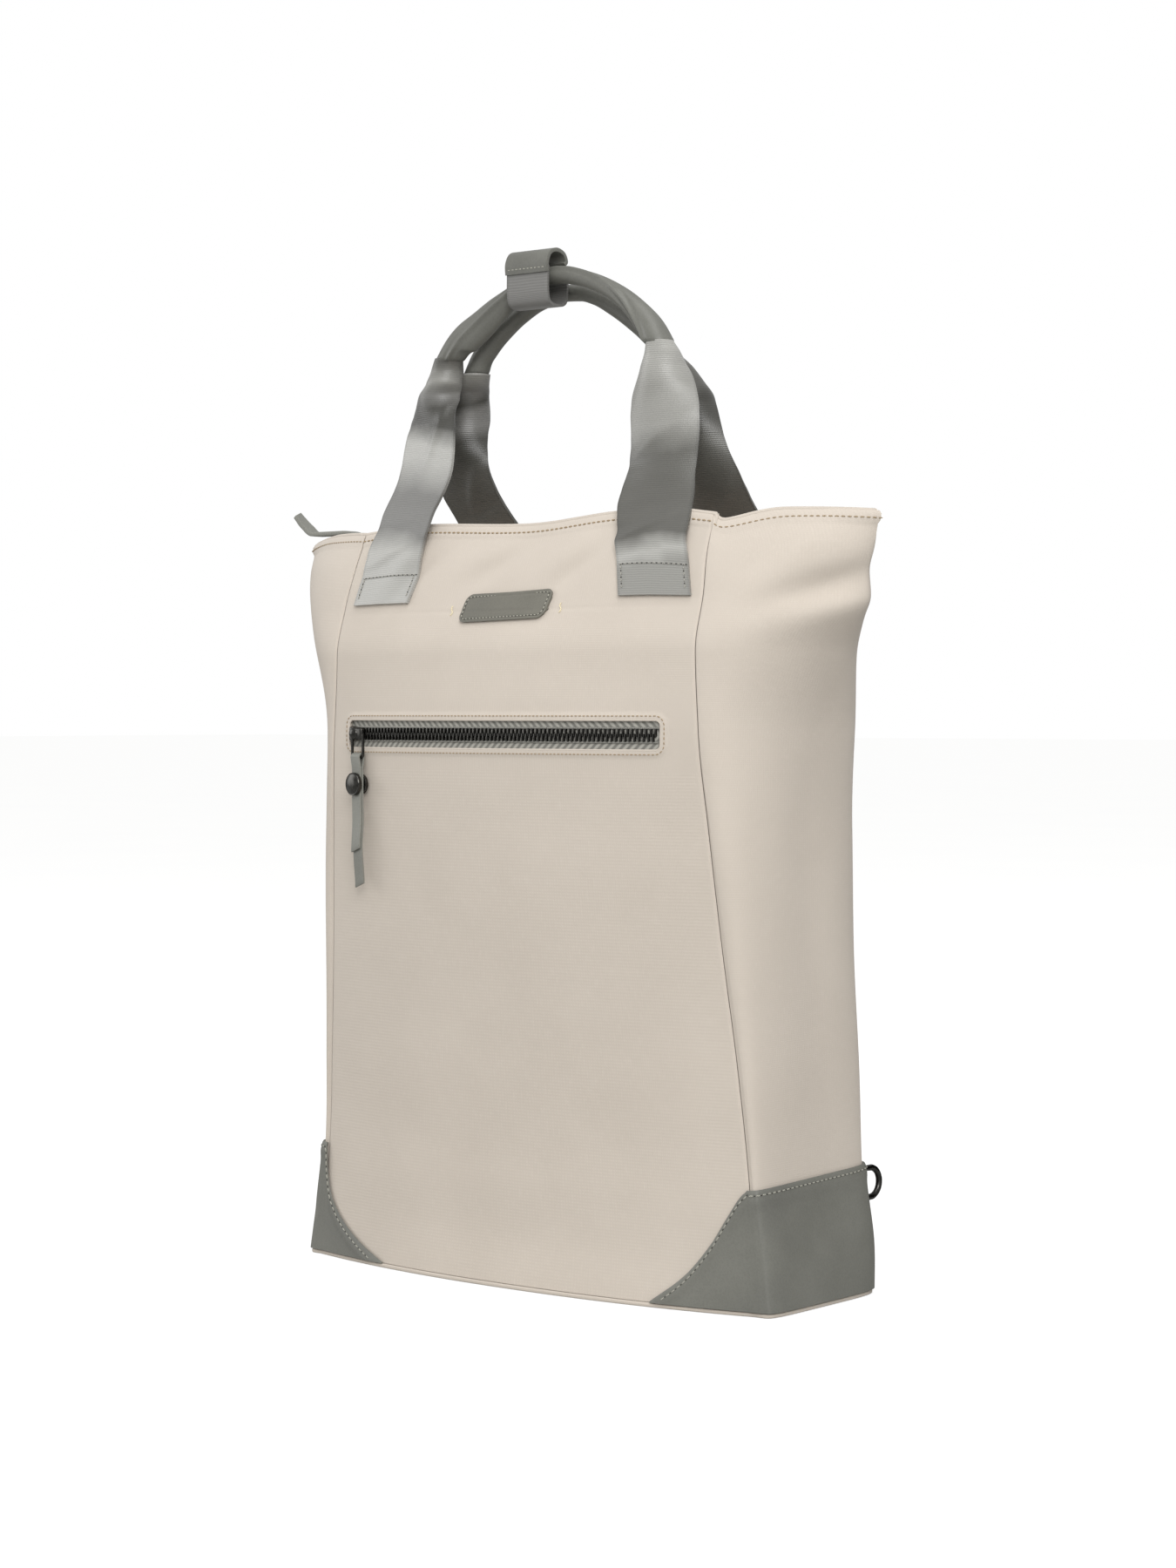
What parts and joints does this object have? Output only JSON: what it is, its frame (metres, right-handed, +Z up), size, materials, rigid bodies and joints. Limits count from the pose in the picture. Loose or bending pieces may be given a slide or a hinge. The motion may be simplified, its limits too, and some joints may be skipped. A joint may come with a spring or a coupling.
{
  "type": "convertible backpack",
  "caption": "Upright cloth tote backpack with zipped top, zipped front pocket, webbing handles with padded grips, leatherette corner patches and rings for stowed shoulder straps.",
  "frame": {"origin": "on the floor, under the middle of the flat base, midway between the front seams and between front and back seams", "axes": "+X across the front to the bag's right as seen from the front, +Y to the back, +Z up from the base to the grips"},
  "size_m": [0.404, 0.15, 0.544],
  "materials": {
    "body_cloth": "matt woven polyester, warm light sand, close plain weave with a faint two-tone fleck",
    "patch_leatherette": "smooth grey leatherette, fine grain, low sheen",
    "strap_webbing": "satin ribbed webbing, mid grey, soft sheen across the ribs",
    "grip_leatherette": "smooth grey leatherette over padding, sewn seam",
    "zip_tape": "fine herringbone zip tape, grey, matt",
    "gunmetal": "dark gunmetal plating, polished"
  },
  "bodies": {
    "bag": {"base_panel": "body_cloth", "front_panel": "body_cloth", "back_panel": "body_cloth", "side_panel_right": "body_cloth", "side_panel_left": "body_cloth", "corner_patch_right": "patch_leatherette", "corner_patch_left": "patch_leatherette", "pocket_zip_tape": "zip_tape", "pocket_zip_teeth": "gunmetal", "pocket_zip_slider": "gunmetal", "pocket_pull_strap": "patch_leatherette", "pocket_pull_stud": "gunmetal", "top_facing_front": "body_cloth", "top_facing_back": "body_cloth", "top_zip_tape": "zip_tape", "top_zip_teeth": "gunmetal", "top_zip_slider": "gunmetal", "top_pull_strap": "patch_leatherette", "label": "patch_leatherette", "grip_front": "grip_leatherette", "grip_back": "grip_leatherette", "webbing_front_right": "strap_webbing", "webbing_front_left": "strap_webbing", "webbing_back_right": "strap_webbing", "webbing_back_left": "strap_webbing", "cuff_webbing": "strap_webbing", "cuff_flap": "patch_leatherette", "ring_tab_right": "strap_webbing", "ring_tab_left": "strap_webbing"},
    "ring_right": {"d_ring_right": "gunmetal"},
    "ring_left": {"d_ring_left": "gunmetal"}
  },
  "joints": [
    {"name": "ring_right_swing", "type": "hinge", "parent": "bag", "child": "ring_right", "pos_m": [0.1415, 0.05248, 0.054], "axis": [0, 0, 1], "range_deg": [-70, 70]},
    {"name": "ring_left_swing", "type": "hinge", "parent": "bag", "child": "ring_left", "pos_m": [-0.1415, 0.05248, 0.054], "axis": [0, 0, 1], "range_deg": [-70, 70]}
  ]
}
